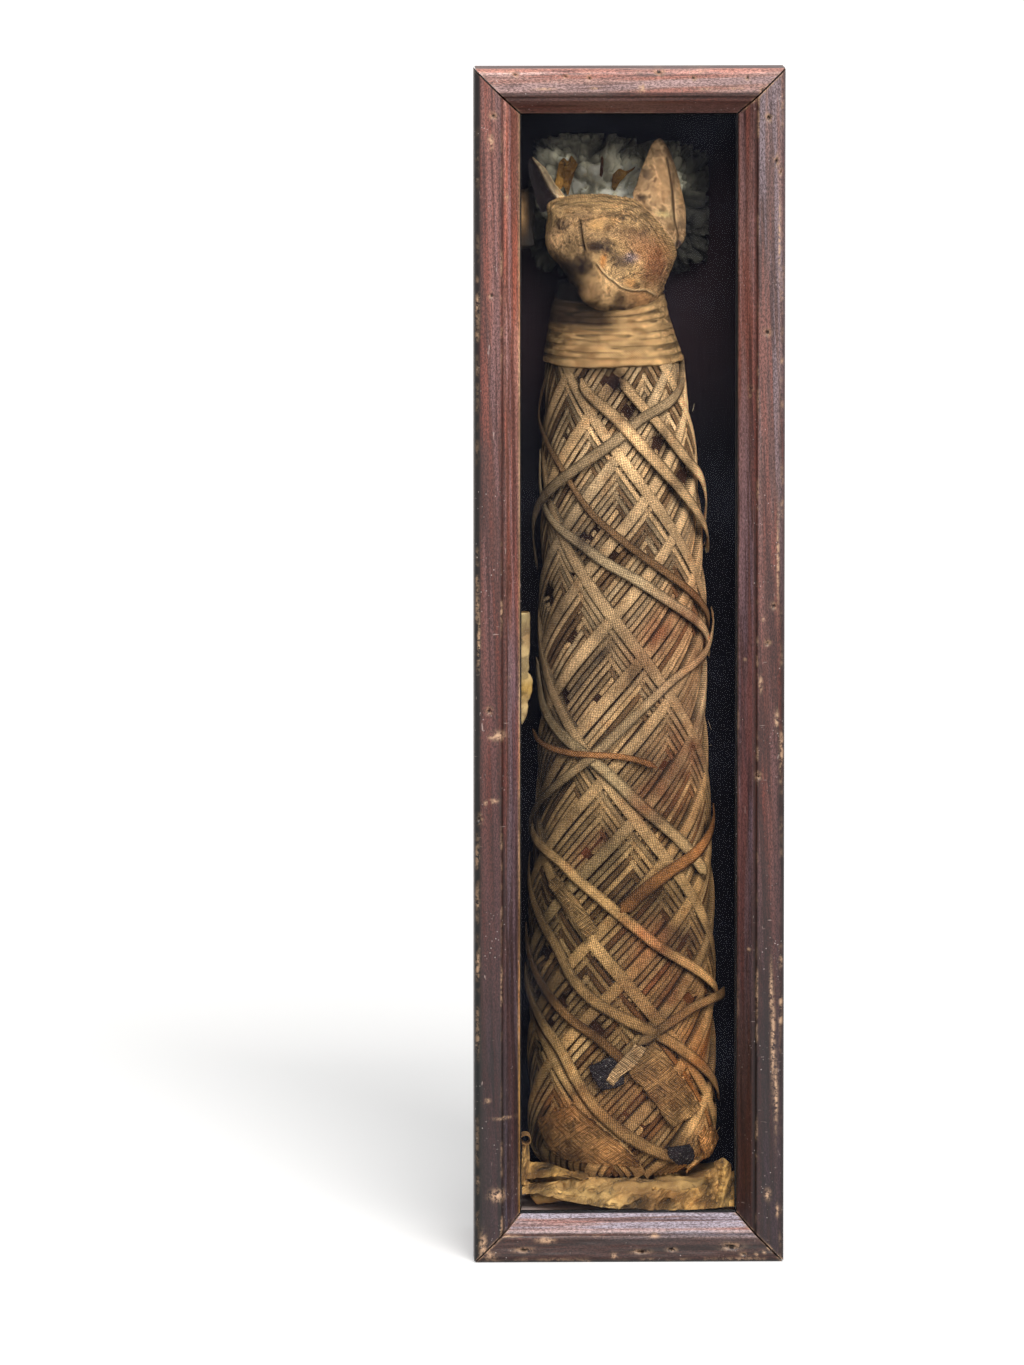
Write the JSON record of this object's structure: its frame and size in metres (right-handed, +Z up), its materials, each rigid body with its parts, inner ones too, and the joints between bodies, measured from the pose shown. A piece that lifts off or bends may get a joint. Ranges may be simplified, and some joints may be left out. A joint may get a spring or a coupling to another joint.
{
  "type": "egyptian animal mummy",
  "caption": "Linen-wrapped Egyptian cat mummy with lozenge strip wrapping, standing on crumpled paper inside a glazed, mitre-framed wooden display case.",
  "frame": {"origin": "middle of the overall box at its underside, on the surface the case stands on", "axes": "+Z up, the glazed front faces -Y, +X to the right of someone who looks at the front"},
  "size_m": [0.15, 0.119, 0.5811],
  "materials": {
    "frame_wood": "worn dark reddish-brown varnish with scuffed edges",
    "case_wood": "dull dark stain",
    "glass": "clear old window glass, dusty",
    "linen": "brown aged plain-weave linen",
    "dark_linen": "dark resin-stained linen",
    "pale_linen": "paler loose linen strips",
    "old_paper": "yellowed crumpled newsprint, blank",
    "grey_paper": "grey crumpled packing paper",
    "iron": "dark old nails",
    "brass": "dull brass screws"
  },
  "bodies": {
    "root": {"frame_top_rail": "frame_wood", "frame_bottom_rail": "frame_wood", "frame_left_stile": "frame_wood", "frame_right_stile": "frame_wood", "glass_pane": "glass", "glass_bead_top": "frame_wood", "glass_bead_bottom": "frame_wood", "glass_bead_left": "frame_wood", "glass_bead_right": "frame_wood", "case_left_side": "case_wood", "case_right_side": "case_wood", "case_top_board": "case_wood", "case_floor_board": "case_wood", "case_back_board": "case_wood", "frame_nail_left_1": "iron", "frame_nail_left_2": "iron", "frame_nail_right_1": "iron", "frame_nail_right_2": "iron", "back_screw_left_1": "brass", "back_screw_left_2": "brass", "back_screw_left_3": "brass", "back_screw_right_1": "brass", "back_screw_right_2": "brass", "back_screw_right_3": "brass", "body_bundle": "dark_linen", "steep_under_winding": "dark_linen", "cross_under_winding": "dark_linen", "steep_upper_winding": "linen", "cross_upper_winding": "linen", "neck_winding": "linen", "loose_strip_shoulder": "pale_linen", "loose_strip_cross_shoulder": "pale_linen", "loose_strip_right_breast": "pale_linen", "loose_strip_left_breast": "pale_linen", "loose_strip_pale_waist": "pale_linen", "loose_strip_long_cross": "pale_linen", "loose_strip_left_hip": "pale_linen", "loose_strip_twisted_end": "pale_linen", "loose_strip_lower_long": "pale_linen", "loose_strip_right_frayed": "pale_linen", "loose_strip_foot_long": "pale_linen", "loose_strip_foot_left": "pale_linen", "loose_strip_foot_lower": "pale_linen", "loose_strip_foot_right": "pale_linen", "head": "linen", "left_ear": "dark_linen", "right_ear": "linen", "floor_wad": "old_paper", "side_wad_left": "old_paper", "side_wad_right": "old_paper", "side_paper_roll": "old_paper", "head_packing_left": "grey_paper", "head_packing_right": "grey_paper"}
  },
  "joints": []
}
